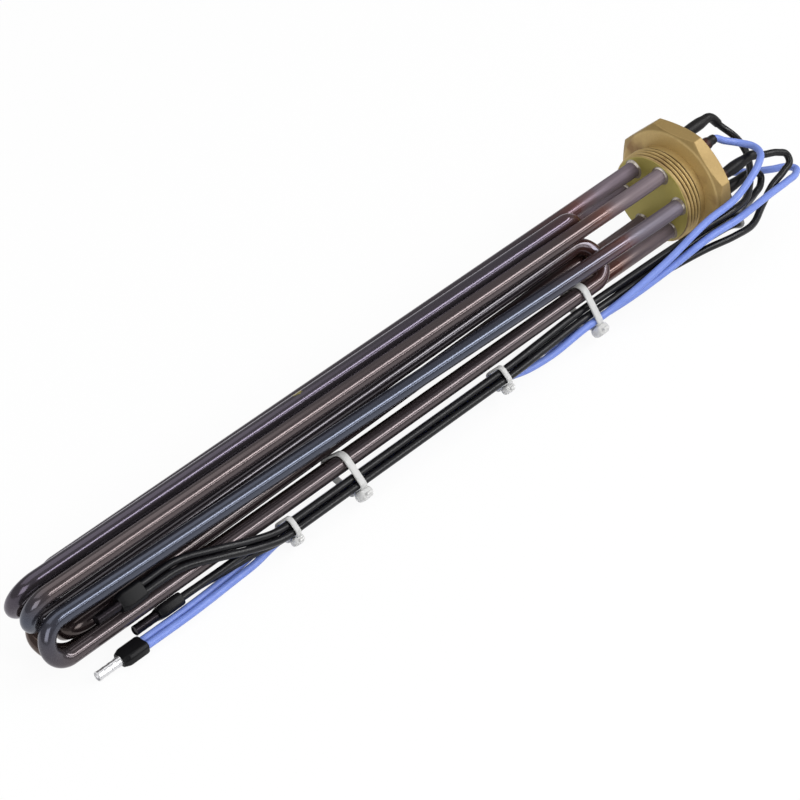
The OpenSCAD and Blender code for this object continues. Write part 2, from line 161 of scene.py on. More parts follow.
class Finish:
    def __init__(self, name, roughness, metallic=0.0):
        self.material = bpy.data.materials.new(name)
        self.material.use_nodes = True
        self.tree = self.material.node_tree
        self.shader = self.tree.nodes["Principled BSDF"]
        self.feed("Roughness", roughness)
        self.feed("Metallic", metallic)

    def add(self, kind, **values):
        node = self.tree.nodes.new(kind)
        for key, value in values.items():
            setattr(node, key, value)
        return node

    def put(self, value, socket):
        if hasattr(value, "is_output"):
            self.tree.links.new(value, socket)
        else:
            socket.default_value = value

    def feed(self, title, value):
        self.put(value, self.shader.inputs[title])

    def group(self, tree, **values):
        node = self.add("ShaderNodeGroup", node_tree=tree)
        for key, value in values.items():
            node.inputs[key.replace("_", " ")].default_value = value
        return node.outputs

    def place(self):
        return self.add("ShaderNodeTexCoord").outputs["Object"]

    def axes(self, vector):
        node = self.add("ShaderNodeSeparateXYZ")
        self.put(vector, node.inputs[0])
        return node.outputs

    def number(self, operation, *values):
        node = self.add("ShaderNodeMath", operation=operation)
        for value, socket in zip(values, node.inputs):
            self.put(value, socket)
        return node.outputs["Value"]

    def vector(self, operation, *values):
        node = self.add("ShaderNodeVectorMath", operation=operation)
        for value, socket in zip(values, node.inputs):
            self.put(value, socket)
        return node.outputs

    def ramp(self, factor, stops):
        node = self.add("ShaderNodeValToRGB")
        elements = node.color_ramp.elements
        while len(elements) < len(stops):
            elements.new(1)
        for element, (spot, colour) in zip(elements, stops):
            element.position = spot
            element.color = colour
        self.put(factor, node.inputs["Fac"])
        return node.outputs["Color"]

    def mix(self, factor, first, second):
        node = self.add("ShaderNodeMix", data_type="RGBA")
        self.put(factor, node.inputs["Factor"])
        self.put(first, node.inputs[mix_first])
        self.put(second, node.inputs[mix_second])
        return node.outputs[mix_result]

    def span(self, value, low, high, to_low=0.0, to_high=1.0):
        node = self.add("ShaderNodeMapRange")
        ends = {"From Min": low, "From Max": high, "To Min": to_low, "To Max": to_high}
        for title, number in ends.items():
            node.inputs[title].default_value = number
        self.put(value, node.inputs["Value"])
        return node.outputs["Result"]

    def bump(self, height, distance, strength):
        node = self.add("ShaderNodeBump")
        node.inputs["Distance"].default_value = distance
        node.inputs["Strength"].default_value = strength
        self.put(height, node.inputs["Height"])
        self.feed("Normal", node.outputs["Normal"])


print("finish helpers", [name for name in vars(Finish) if not name.startswith("_")])


# %% [markdown]
# Several finishes are one recipe with other values: two near colours in blotches, and a grain
# that wavers the roughness and makes a faint bump. Every dressed piece also gets its material,
# rides on the root body and hides the solids that it stands for.

# %% Grained finish and dressing
def grained(name, dark, light, roughness, metallic=0.0,
            scales=(300, 1600), spread=(0.08, 0.1), depth=0.0001, strength=0.3):
    finish = Finish(name, roughness, metallic)
    grain = finish.group(mottle, Broad_Scale=scales[0], Fine_Scale=scales[1])
    finish.feed("Base Color", finish.mix(grain["Broad"], dark, light))
    if spread:
        smooth, rough = roughness - spread[0], roughness + spread[1]
        finish.feed("Roughness", finish.span(grain["Fine"], *noise_range, smooth, rough))
    finish.bump(grain["Fine"], depth, strength)
    return finish


def dress(piece, finish, slot, *nodes):
    piece.data.materials.clear()
    piece.data.materials.append(finish.material)
    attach(piece, "root")
    if nodes:
        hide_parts(*nodes)
    return piece


print("noise is stretched from", noise_range)

# %% [markdown]
# ## Leads
# Each lead is stranded copper in soft insulation. It leaves its sleeve behind the plug, turns
# back in a loose loop and runs along the tubes to its ferrule. Two ways of saying where a point
# lies keep the routes short. One counts along the tubes and across the bundle, and the other goes
# round the plug from leg to leg. Both are in millimetres.

# %% Places along the tubes and round the plug
bundle_turn = math.radians(222)
leg_count, leg_r, leg_phase = 6, 17.3, 48
lead_d = 3.7
lead_start = 25.5
sleeve_ends = [42, 26, 40, 44, 34, 32]
long_sleeve = 36


def at(s, u, w):
    c, d = math.cos(bundle_turn), math.sin(bundle_turn)
    return Vector((-s, u * c + w * d, u * d - w * c))


def leg(x, k):
    angle = math.radians(leg_phase + 360 / leg_count * k)
    return Vector((x, leg_r * math.cos(angle), leg_r * math.sin(angle)))


def stub(k):
    inside = [leg(sleeve_ends[k] - 2, k)] if sleeve_ends[k] > long_sleeve else []
    return [leg(lead_start, k), *inside, leg(sleeve_ends[k] + 1, k)]


print("legs at", [[round(c, 1) for c in leg(0, k)[1:]] for k in range(leg_count)])

# %% [markdown]
# Behind the head every lead swings round in its own loop before it comes forward past the edge. A
# simulation could drop the leads into place, but they wouldn't fall as these ones do, so the
# points of each loop are listed one by one.

# %% Loops behind the head
lead_legs = {
    "lead_black_1": 0, "lead_black_2": 2, "lead_black_3": 3,
    "lead_black_4": 5, "lead_blue_1": 1, "lead_blue_2": 4,
}
loops = {
    "lead_black_1": [
        (50, 8, 5.4), (53, 0.5, 0), (51, -7, -3.6), (45, -14.2, -6.2), (34, -23, -7.4),
        (21, -30.6, -5.4), (8, -33.9, -2.8),
    ],
    "lead_black_2": [
        (50, -18.8, 0.6), (59, -20.8, -2), (63.6, -22.8, -4.8), (63.4, -24.8, -7.8),
        (58, -25.8, -10.2), (48, -26.6, -13), (35, -30.6, -16.2), (20, -36.4, -17.2),
        (5, -37.6, -15),
    ],
    "lead_black_3": [
        (50.6, -12.6, -13.4), (53.6, -14.4, -16), (51.4, -16.4, -19), (44, -18.4, -20.4),
        (33, -22.4, -18.6), (20, -29.6, -13.2), (7, -34.2, -7.2),
    ],
    "lead_black_4": [
        (42, 15, -9), (45, 8, -20), (41, -3, -25), (30, -17, -25), (18, -30.5, -18.5),
        (5, -33.8, -11),
    ],
    "lead_blue_1": [
        (33, -7.4, 13), (39, -11.6, 10.4), (42, -18, 9.8), (39, -25, 10.6), (31, -30.4, 10.6),
        (20, -33.6, 8.2), (8, -34.8, 4.6),
    ],
    "lead_blue_2": [
        (46, 2.6, -18.2), (56, -6.6, -18.6), (64, -14, -18), (69.6, -19.2, -17.2),
        (70.8, -23.2, -17), (66.6, -26.6, -16.2), (56, -29.4, -14), (39, -32.4, -10.8),
        (20, -36, -7.4), (5, -38.2, -5.2),
    ],
}
print("loop points", sum(len(loop) for loop in loops.values()))

# %% [markdown]
# Along the tubes each lead has a way through the first tie, one place in the bundle that it keeps
# through the other three, and a way from the last tie to its ferrule. Only the two ways differ
# much, so the tied places are filled in by a loop.

# %% Courses along the tubes
tied_spots = (145, 157, 205, 243, 257, 286, 298)
courses = {
    "lead_black_1": (
        [(12, 26, 19), (40, 25, 12.4), (66, 24.6, 6.6), (80, 24.4, 4.2), (94, 24.4, 4.2),
         (120, 25.2, 5)],
        (26, 6),
        [(316, 22, 9), (334, 16, 10.6), (352, 10.4, 10.4), (373.9, 9.8, 10.4)],
    ),
    "lead_black_2": (
        [(14, 35, 13), (40, 32, 6), (66, 29, 0.6), (80, 28.3, 0.3), (94, 28.3, 0.3),
         (120, 29.1, 1)],
        (29.9, 2),
        [(314, 27.8, 1.3), (330, 26.6, 0.5), (346, 25.2, -0.5), (356.9, 25, -0.5)],
    ),
    "lead_black_3": (
        [(12, 28.8, 15.6), (40, 28.6, 10.2), (66, 28.4, 5.4), (80, 28.3, 4.2), (94, 28.3, 4.2),
         (120, 29.1, 5)],
        (29.9, 6),
        [(316, 26, 9), (334, 20, 10.6), (352, 14.4, 10.4), (373.9, 13.6, 10.4)],
    ),
    "lead_black_4": (
        [(12, 31, 12), (40, 26.8, 6.2), (66, 24.8, 2.2), (80, 24.4, 0.3), (94, 24.4, 0.3),
         (120, 25.2, 1)],
        (26, 2),
        [(314, 25, 4.8), (330, 25.2, 4.7), (346, 25.1, 3.5), (356.9, 25, 3.5)],
    ),
    "lead_blue_1": (
        [(12, 24, 23.6), (40, 28.6, 16.5), (66, 31.4, 9), (80, 32.2, 4.2), (94, 32.2, 4.2),
         (120, 33.4, -0.2), (132, 32.4, -1.8)],
        (29.9, -2),
        [(314, 31.8, -0.9), (330, 32.4, 0.8), (356, 33.1, 4.5), (385, 33.1, 4.5)],
    ),
    "lead_blue_2": (
        [(12, 31, 20.5), (40, 32.4, 12.4), (66, 32.8, 4.6), (80, 32.2, 0.3), (94, 32.2, 0.3),
         (106, 31.8, -2.4), (120, 29.3, -3)],
        (26, -2),
        [(314, 28, -2.8), (330, 29.4, -2.2), (356, 30.2, 1.8), (385, 30.2, 1.8)],
    ),
}
routes = {}
for name, (before, tied, after) in courses.items():
    course = [*before, *((s, *tied) for s in tied_spots), *after]
    loop = [Vector(p) for p in loops[name]]
    routes[name] = stub(lead_legs[name]) + loop + [at(*p) for p in course]
print("routes", {name: len(points) for name, points in routes.items()})

# %% [markdown]
# The insulation is smooth and satin. A plain shader would look like wet paint, so a little grain
# in the roughness and a faint bump break up the highlight, as on real extruded plastic.

# %% Lead finishes
def insulation(name, dark, light, roughness, shine):
    finish = grained(name, dark, light, roughness,
                     scales=(160, 2500), spread=(0.06, 0.08), depth=0.00006)
    finish.feed("Specular IOR Level", shine)
    return finish


lead_finish = {
    "lead_black": insulation(
        "lead_black", paint(6, 6, 9), paint(13, 13, 18), roughness=0.3, shine=0.3),
    "lead_blue": insulation(
        "lead_blue", paint(98, 120, 196), paint(120, 142, 212), roughness=0.42, shine=0.5),
}
print("lead finishes", sorted(lead_finish))


# %% [markdown]
# A cord could be a mesh that is swept along its route. A Bezier curve with a round bevel is its
# natural form: it keeps its thickness in every bend, and its points are the route's points. A
# handle lies along the line between the neighbours and reaches a third of the way, so the curve
# is smooth.

# %% Lead curves
curve_steps = 8
end_handle = 1


def slope(points, i):
    if i == 0:
        return (points[1] - points[0]).normalized()
    if i == len(points) - 1:
        return (points[i] - points[i - 1]).normalized()
    before, after = points[i] - points[i - 1], points[i + 1] - points[i]
    a, b = before.length, after.length
    return (after.normalized() * a + before.normalized() * b).normalized()


def lead_curve(name, points):
    curve = bpy.data.curves.new(name, "CURVE")
    curve.dimensions = "3D"
    curve.bevel_depth = lead_d / 2 * MM
    curve.bevel_resolution = 5
    curve.resolution_u = curve_steps
    curve.use_fill_caps = True
    spline = curve.splines.new("BEZIER")
    last = len(points) - 1
    spline.bezier_points.add(last)
    for i, knot in enumerate(spline.bezier_points):
        way = slope(points, i)
        before = (points[i] - points[i - 1]).length / 3 if i else end_handle
        after = (points[i + 1] - points[i]).length / 3 if i < last else end_handle
        knot.co = points[i] * MM
        knot.handle_left = (points[i] - way * before) * MM
        knot.handle_right = (points[i] + way * after) * MM
    lead = bpy.data.objects.new(name + "_insulation", curve)
    scene.collection.objects.link(lead)
    return lead


for name, points in routes.items():
    slot = name[:-2]
    dress(lead_curve(name, points), lead_finish[slot], slot, name)


# %% [markdown]
# ## Building meshes
# Most other pieces are turned, bent or drawn. Modifiers such as Screw or Skin could make some of
# them, but then each piece has its own way. All of them are also rows of points joined by faces,
# so one helper joins the rows, and the pieces below only say where each row's points lie.

# %% Mesh helpers
def joined(rows, wrap_rows=False):
    count = len(rows[0])
    points = [p for row in rows for p in row]
    faces = []
    last = len(rows) if wrap_rows else len(rows) - 1
    for i in range(last):
        a, b = i * count, (i + 1) % len(rows) * count
        for j in range(count):
            k = (j + 1) % count
            faces.append((a + j, a + k, b + k, b + j))
    if not wrap_rows:
        faces.append(tuple(reversed(range(count))))
        faces.append(tuple((len(rows) - 1) * count + j for j in range(count)))
    return points, faces


def together(parts):
    points, faces = [], []
    for part_points, part_faces in parts:
        base = len(points)
        points += part_points
        faces += [tuple(base + i for i in face) for face in part_faces]
    return points, faces


def solid(name, points, faces, sharp=35, bevel=0.0):
    mesh = bpy.data.meshes.new(name)
    mesh.from_pydata([tuple(Vector(p) * MM) for p in points], [], faces)
    mesh.validate()
    mesh.shade_smooth()
    mesh.set_sharp_from_angle(angle=math.radians(sharp))
    piece = bpy.data.objects.new(name, mesh)
    scene.collection.objects.link(piece)
    if bevel:
        rounding = piece.modifiers.new("rounded edges", "BEVEL")
        rounding.width = bevel * MM
        rounding.segments = 3
        rounding.limit_method = "ANGLE"
        rounding.angle_limit = math.radians(sharp)
    return piece


print("a prism of two triangles has", len(joined([[0, 1, 2], [3, 4, 5]])[1]), "faces")

# %% [markdown]
# ## Heating tubes
# Each tube is one drawn pipe, bent to a U at both far ends and once near the plug. A curve would
# do for the shape, but a point of such a curve can't keep a value for the material, and each run
# needs its own tint. So the centre line is worked out as straight stretches and arcs. A row names
# the two legs and the three bends, each with its tip along the tubes and the two runs that it
# joins.

# %% Folds of the tubes
tube_d = 8.0
tail_x = 14
leg_bend_s, leg_bend_r = 28, 500
bend_share = 0.97
far, near = -1, 1
elements = [
    ((5, 0), [
        (far, 425, (-10.7, -15.1), (-17.6, 5.1)),
        (near, 62.5, (-14.7, 11.3), (-3, -3.9)),
        (far, 408, (0, -10.4), (-18.1, -3.5)),
    ]),
    ((2, 1), [
        (far, 430, (1.2, 13.7), (17.8, 2.7)),
        (near, 62, (17.5, 5.7), (-2.5, 5.8)),
        (far, 429, (-1.2, -1.3), (-9.7, 15.9)),
    ]),
    ((3, 4), [
        (far, 421, (16.4, -8.5), (-2.7, -18.2)),
        (near, 62, (-2.9, -18.2), (5.2, -0.4)),
        (far, 410, (9.4, -0.6), (6.8, -17)),
    ]),
]


def element_corners(legs, bends):
    first, last = legs
    corners = [leg(tail_x, first), leg(-leg_bend_s, first)]
    radii = [leg_bend_r]
    for side, tip, p, q in bends:
        s = tip + side * tube_d / 2
        corners += [at(s, *p), at(s, *q)]
        radii += [bend_share * math.dist(p, q) / 2] * 2
    corners += [leg(-leg_bend_s, last), leg(tail_x, last)]
    return corners, radii + [leg_bend_r]


print("corners of each tube", [len(element_corners(*e)[0]) for e in elements])


# %% [markdown]
# Every corner becomes an arc that touches both of its straight stretches. A count of the runs is
# kept beside the points. It grows by a half at each of a bend's two corners, so it tells run from
# run and changes evenly round a bend.

# %% Centre lines of the tubes
arc_step, straight_step = 5, 30


def element_line(legs, bends):
    corners, radii = element_corners(legs, bends)
    line, runs = [corners[0]], [0.0]
    for i in range(1, len(corners) - 1):
        p, q, r = corners[i - 1:i + 2]
        radius = radii[i - 1]
        into, out = (q - p).normalized(), (r - q).normalized()
        turn = into.angle(out)
        start = q - into * radius * math.tan(turn / 2)
        inward = (out - into * out.dot(into)).normalized()
        centre = start + inward * radius
        begin = line[-1]
        for k in range(1, int((start - begin).length / straight_step) + 1):
            line.append(begin + into * straight_step * k)
            runs.append(runs[-1])
        pieces = max(2, math.ceil(math.degrees(turn) / arc_step))
        gain = 0.5 if 1 < i < len(corners) - 2 else 0.0
        from_run = runs[-1]
        for k in range(pieces + 1):
            angle = turn * k / pieces
            across = inward * radius * math.cos(angle)
            ahead = into * radius * math.sin(angle)
            line.append(centre - across + ahead)
            runs.append(from_run + gain * k / pieces)
    line.append(corners[-1])
    runs.append(runs[-1])
    return line, runs


print("points of each centre line", [len(element_line(*e)[0]) for e in elements])

# %% [markdown]
# A ring of points is carried along the line. Each ring takes its direction from the one before,
# so the tube doesn't twist. Every point keeps the tint of its run as an attribute, which the
# material can read.

# %% Tube meshes
tube_sides = 28
least_step = 0.05
run_tints = [(0.1, 0.05, 0.7, 0.1), (0.5, 0.3, 0.75, 0.28), (0.85, 0.9, 0.8, 0.9)]


def carried_rings(line, radii, sides):
    rows, side = [], None
    turns = [2 * math.pi * j / sides for j in range(sides)]
    for i, (p, radius) in enumerate(zip(line, radii)):
        way = (line[min(i + 1, len(line) - 1)] - line[max(i - 1, 0)]).normalized()
        side = way.orthogonal() if side is None else side - way * side.dot(way)
        side = side.normalized()
        other = way.cross(side)
        rows.append([p + radius * (math.cos(a) * side + math.sin(a) * other) for a in turns])
    return rows


def sheath(i, element):
    line, runs = element_line(*element)
    kept = [k for k in range(len(line))
            if k == 0 or (line[k] - line[k - 1]).length > least_step]
    line, runs = [line[k] for k in kept], [runs[k] for k in kept]
    rings = carried_rings(line, [tube_d / 2] * len(line), tube_sides)
    piece = solid(f"heating_tube_{i + 1}", *joined(rings), sharp=50)
    tints = run_tints[i]
    last = len(tints) - 1
    values = []
    for run in runs:
        low = min(int(run), last)
        high = min(low + 1, last)
        values += [tints[low] + (tints[high] - tints[low]) * (run - low)] * tube_sides
    layer = piece.data.attributes.new("run_tint", "FLOAT", "POINT")
    layer.data.foreach_set("value", values)
    return piece


tubes = [sheath(i, element) for i, element in enumerate(elements)]
print("tubes", [(t.name, len(t.data.vertices)) for t in tubes])

# %% [markdown]
# The metal was bright once. Next to the plug it stays cool and keeps a dull mauve grey, then
# comes a short copper-red band, and the hot length is dark. The bands could be painted by hand,
# but distance from the plug through a colour ramp gives them on all tubes at once, and blotches
# shift them so that they don't end in a straight line. The run's own tint picks the colour of the
# hot length.

# %% Tube colours
band_start, band_end, band_shift = 0.005, -0.115, 0.03
soot = paint(34, 28, 34)
oxide = Finish("tube_oxide", roughness=0.25, metallic=0.15)
place = oxide.place()
marks = oxide.group(streaks, Across_Scale=900, Along_Share=0.012)
shifted = oxide.number("MULTIPLY_ADD", marks["Blotch"], band_shift, oxide.axes(place)["X"])
distance = oxide.span(shifted, band_start, band_end)
cool = oxide.ramp(distance, [
    (0.10, paint(108, 97, 104)), (0.28, paint(99, 88, 93)), (0.38, paint(94, 60, 52)),
    (0.5, paint(70, 45, 39)), (0.8, paint(44, 37, 38)),
])
tint = oxide.add("ShaderNodeAttribute", attribute_name="run_tint").outputs["Fac"]
hot = oxide.ramp(tint, [
    (0.0, paint(48, 46, 50)), (0.25, paint(58, 50, 50)), (0.5, paint(44, 46, 54)),
    (0.75, paint(36, 32, 35)), (1.0, paint(54, 37, 28)),
])
heated = oxide.mix(oxide.span(distance, 0.45, 0.95), cool, hot)
sooted = oxide.span(marks["Streak"], 0.35, 0.75, to_high=0.4)
body = oxide.mix(sooted, heated, soot)
print("tube colours", len(oxide.tree.nodes), "nodes")

# %% [markdown]
# Heat leaves a glossy oxide film, and its thickness tints what it reflects: lilac on one tube,
# blue on the next and orange on another. The tint therefore goes to the shader's reflection and
# not to its base colour. The cool ends stay dull.

# %% Tube film
dull_gloss, film_gloss, streak_gloss = 0.6, 0.15, 0.05
film = oxide.ramp(tint, [
    (0.0, paint(206, 196, 236)), (0.25, paint(248, 226, 222)), (0.5, paint(214, 226, 255)),
    (0.75, paint(222, 218, 226)), (1.0, paint(250, 206, 164)),
])
oxide.feed("Specular Tint", film)
oxide.feed("Specular IOR Level", 1.0)
dull = oxide.span(distance, 0.2, 0.42, dull_gloss, film_gloss)
oxide.feed("Roughness", oxide.number("MULTIPLY_ADD", marks["Streak"], streak_gloss, dull))
oxide.bump(marks["Streak"], distance=0.00006, strength=0.05)
print("tube film", len(oxide.tree.nodes), "nodes")

# %% [markdown]
# One tube has a fleck of yellow paint on it. A decal would need its own mesh, so the distance
# from the fleck's place makes a mask in the tubes' material, and a little noise makes its edge
# ragged.

# %% Paint fleck
fleck_spot = at(252, -20.2, 8.2) * MM
fleck_outside, fleck_inside, fleck_ragged = 0.0048, 0.0040, 0.003
fleck_colour = paint(132, 124, 52)
away = oxide.vector("DISTANCE", place, fleck_spot)["Value"]
edge = oxide.group(mottle, Broad_Scale=600)["Broad"]
ragged = oxide.number("MULTIPLY_ADD", edge, fleck_ragged, away)
fleck = oxide.span(ragged, fleck_outside, fleck_inside)
oxide.feed("Base Color", oxide.mix(fleck, body, fleck_colour))
for i, tube in enumerate(tubes):
    dress(tube, oxide, "tube_oxide", f"element_sheath_{i + 1}")
print("fleck at", [round(c, 3) for c in fleck_spot])


# %% [markdown]
# ## Brass plug
# The plug is turned from octagon bar. Its head could be a cut prism, but cuts leave ragged faces
# for a bevel. Here it is a grid in polar form: the radius of an octagon is known at every angle,
# and the turned corner chamfer follows from it. Turned pieces share one helper, whose place and
# radius may change with the angle.

# %% Plug head
head_af, head_t, head_face_r = 62, 10, 29.5
head_slope = math.tan(math.radians(30))
relief_r, relief_w = 22.3, 4


def turned_row(x, radius_at, centre=(0, 0), count=192):
    row = []
    for j in range(count):
        angle = 2 * math.pi * j / count
        r = radius_at(angle) if callable(radius_at) else radius_at
        spot = x(angle) if callable(x) else x
        row.append((spot, centre[0] + r * math.cos(angle), centre[1] + r * math.sin(angle)))
    return row


def octagon_r(angle):
    off = (angle + math.pi / 8) % (math.pi / 4) - math.pi / 8
    return head_af / 2 / math.cos(off)


def head_drop(angle):
    return (octagon_r(angle) - head_face_r) * head_slope


head_rows = [
    turned_row(0, relief_r - 1),
    turned_row(0, head_face_r),
    turned_row(head_drop, octagon_r),
    turned_row(lambda angle: head_t - head_drop(angle), octagon_r),
    turned_row(head_t, head_face_r),
]
plug_head = solid("plug_head", *joined(head_rows), sharp=20, bevel=0.35)
print("head faces", len(plug_head.data.polygons))

# %% [markdown]
# The pipe thread is a real screw line. A bump would stay flat at the outline, and the Screw
# modifier leaves open ends. In a grid the crest simply moves along by one pitch for each turn,
# and the chamfer at both ends cuts it off.

# %% Plug thread
thread_r, thread_pitch, thread_depth = 23.9, 2.309, 1.48
thread_len, thread_chamfer = 10, 1.2
thread_step = 0.17
root_flat, thread_flank = 0.12, 0.74
thread_buried, front_inset = 0.5, 1.6


def thread_radius(x):
    inside = min(-relief_w - x, x + relief_w + thread_len)
    limit = thread_r - max(0, thread_chamfer - inside)

    def radius(angle):
        phase = (x / thread_pitch - angle / (2 * math.pi)) % 1
        rise = min(1, max(0, (abs(2 * phase - 1) - root_flat) / thread_flank))
        return min(limit, thread_r - thread_depth * (1 - rise))

    return radius


steps = round(thread_len / thread_step)
thread_rows = [turned_row(thread_buried, relief_r), turned_row(-relief_w, relief_r)]
for i in range(steps + 1):
    x = -relief_w - thread_len * i / steps
    thread_rows.append(turned_row(x, thread_radius(x)))
front_r = thread_r - thread_chamfer - front_inset
thread_rows.append(turned_row(-relief_w - thread_len, front_r))
plug_thread = solid("plug_thread", *joined(thread_rows), sharp=40)
print("thread faces", len(plug_thread.data.polygons))

# %% [markdown]
# Turned brass shows fine rings round its axis and dulls to tan with brown tarnish in blotches,
# while the flats keep the darker skin of the drawn bar. The rings are a wave of the distance from
# the axis. The same distance finds the flats, which saves a material of their own.

# %% Brass finish
ring_waves = 9000
flats_from, flats_full = 0.0300, 0.0308
brass = Finish("brass", roughness=0.46, metallic=0.35)
blot = brass.group(mottle, Broad_Scale=60, Fine_Scale=900)
spot = brass.place()
axial = brass.axes(spot)["X"]
radial = brass.vector("LENGTH", brass.vector("MULTIPLY", spot, (0, 1, 1))["Vector"])["Value"]
rings = brass.number("SINE", brass.number("MULTIPLY", radial, ring_waves))
tan = brass.mix(blot["Fine"], paint(178, 152, 98), paint(198, 171, 114))
aged = brass.mix(brass.span(blot["Broad"], 0.5, 0.7), tan, paint(144, 113, 72))
skin = brass.mix(blot["Fine"], paint(142, 118, 70), paint(160, 134, 82))
turned = brass.mix(brass.span(radial, flats_from, flats_full), aged, skin)
brass.feed("Roughness", brass.span(blot["Broad"], *noise_range, 0.4, 0.56))
brass.bump(rings, distance=0.00003, strength=0.2)
print("brass", len(brass.tree.nodes), "nodes")

# %% [markdown]
# The front face is tinged olive, and the roots of the thread are coloured dark brown. Both are
# found by place: the face by the distance along the axis, and the roots by the distance from it,
# kept to the length of the thread.

# %% Olive face and dark thread roots
face_from, face_full = -0.0136, -0.0140
root_from, root_full = 0.0234, 0.0226
thread_from, thread_to = (-0.0038, -0.0042), (-0.0138, -0.0134)
olive = brass.mix(blot["Broad"], paint(152, 140, 66), paint(182, 168, 94))
toned = brass.mix(brass.span(axial, face_from, face_full), turned, olive)
threaded = brass.number(
    "MULTIPLY", brass.span(axial, *thread_from), brass.span(axial, *thread_to))
# Darker towards the roots of the thread.
root = brass.number("MULTIPLY", brass.span(radial, root_from, root_full), threaded)
brass.feed("Base Color", brass.mix(root, toned, paint(58, 38, 16)))
dress(plug_head, brass, "brass", "screw_plug")
dress(plug_thread, brass, "brass", "screw_plug")
print("plug dressed in", brass.material.name)

# %% [markdown]
# ## Braze at the tube feet
# Silver braze ran round each tube where it enters the plug and froze as an uneven fillet.
# Metaballs could flow together like this, but they are hard to hold in place. Each fillet is a
# turned ring whose width and height waver round the tube.

# %% Braze fillets
front_x = -14
braze_w, braze_h = 1.3, 1.3
fillet_sides = 48
fillet_section = (
    (-0.4, -0.5), (0.9, -0.5), (0.9, 0.03), (0.5, 0.16), (0.2, 0.42), (0.02, 0.8), (-0.4, 0.7),
)
wide_mean, wide_waves = 0.85, ((0.14, 2, 2), (0.05, 5, 1))
high_mean, high_waves = 0.8, ((0.18, 1, 3), (0.06, 4, 1))


def wavered(mean, waves, angle, k):
    for depth, count, phase in waves:
        mean += depth * math.sin(count * angle + phase * k)
    return mean


def fillet(k):
    centre = leg(0, k)[1:]
    rows = []
    for out, up in fillet_section:
        def wide(angle, out=out):
            share = wavered(wide_mean, wide_waves, angle, k) if out > 0 else 1
            return tube_d / 2 + braze_w * out * share

        def high(angle, up=up):
            share = wavered(high_mean, high_waves, angle, k) if up > 0 else 1
            return front_x - braze_h * up * share

        rows.append(turned_row(high, wide, centre, fillet_sides))
    return joined(rows, wrap_rows=True)


fillets = [fillet(k) for k in range(leg_count)]
braze_rings = solid("braze_fillets", *together(fillets), sharp=60)
print("fillets", len(braze_rings.data.polygons))

# %% [markdown]
# The braze is brown with pale smears. One colour would look cast. The pale colour is painted
# light on the upper sides, found by the surface's own direction, and blotches break it into the
# smears of pale deposit that the braze really has.

# %% Braze finish
silver = Finish("braze", roughness=0.45, metallic=0.3)
clots = silver.group(mottle, Broad_Scale=300, Fine_Scale=1400)
upward = silver.axes(silver.add("ShaderNodeNewGeometry").outputs["Normal"])["Z"]
# Pale where the surface faces up: painted top light, broken by blotches into real smears.
smear_and_top_light = silver.number(
    "MULTIPLY", silver.span(upward, 0.1, 0.6), silver.span(clots["Broad"], 0.42, 0.58))
silver.feed("Base Color", silver.mix(smear_and_top_light, paint(118, 106, 92), paint(226, 218, 208)))
silver.feed("Roughness", silver.span(clots["Fine"], *noise_range, 0.36, 0.56))
silver.bump(clots["Fine"], distance=0.00015, strength=0.3)
dress(braze_rings, silver, "braze", "braze_rings")
print("braze", len(silver.tree.nodes), "nodes")

# %% [markdown]
# ## Terminal sleeves
# Behind the head a shrunk sleeve covers each terminal and the crimp on it. Shrunk plastic follows
# what lies under it, so a plain cylinder looks wrong. The sleeve is carried along the pin and on
# along the first bend of its lead, on the same curve that Blender draws for the lead. It is
# narrow at its root, swells over the crimp and tapers to the insulation.

# %% Sleeve shapes
sleeve_start = 15.5
sleeve_r, sleeve_bore = 3.0, 2.0
sleeve_leads = sorted(lead_legs, key=lead_legs.get)
sleeve_over = [9, 1, 6, 5, 1, 1]
sleeve_profile = [
    (0, 0.78), (0.14, 0.8), (0.24, 0.98), (0.42, 1.06),
    (0.6, 1.02), (0.72, 0.86), (0.94, 0.8), (1.01, 0.74),
]
lump_height, lump_waves = 0.02, 14


def lead_line(points):
    line = []
    for i, (p, q) in enumerate(zip(points, points[1:])):
        reach = (q - p).length
        out, into = slope(points, i) * reach, slope(points, i + 1) * reach
        for k in range(curve_steps):
            f = k / curve_steps
            g, h = f * f, f * f * f
            line.append(p * (2 * h - 3 * g + 1) + out * (h - 2 * g + f)
                        + q * (3 * g - 2 * h) + into * (h - g))
    return line


def sleeve_radius(share, k):
    for (a, r), (b, q) in zip(sleeve_profile, sleeve_profile[1:]):
        if share <= b:
            break
    lump = lump_height * math.sin(lump_waves * share + k)
    return sleeve_r * (r + (q - r) * (share - a) / (b - a) + lump)


def sleeve(k):
    pin = [leg(sleeve_start + i, k) for i in range(round(lead_start - sleeve_start))]
    line = pin + lead_line(routes[sleeve_leads[k]])
    total = sleeve_ends[k] - sleeve_start + sleeve_over[k]
    path, gone = [line[0]], [0.0]
    for p in line[1:]:
        if gone[-1] >= total:
            break
        gone.append(gone[-1] + (p - path[-1]).length)
        path.append(p)
    radii = [sleeve_radius(min(1, g / total), k) for g in gone]
    outside = carried_rings(path, radii, tube_sides)
    bore = carried_rings(path, [sleeve_bore] * len(path), tube_sides)
    return joined(outside + bore[::-1], wrap_rows=True)


sleeves = solid("shrunk_sleeves", *together([sleeve(k) for k in range(leg_count)]), sharp=50)
print("sleeves", len(sleeves.data.polygons))

# %% [markdown]
# The sleeves are matte black and slightly grainy. At the root a red-brown ring shows, so the
# colour changes with the distance from the head.

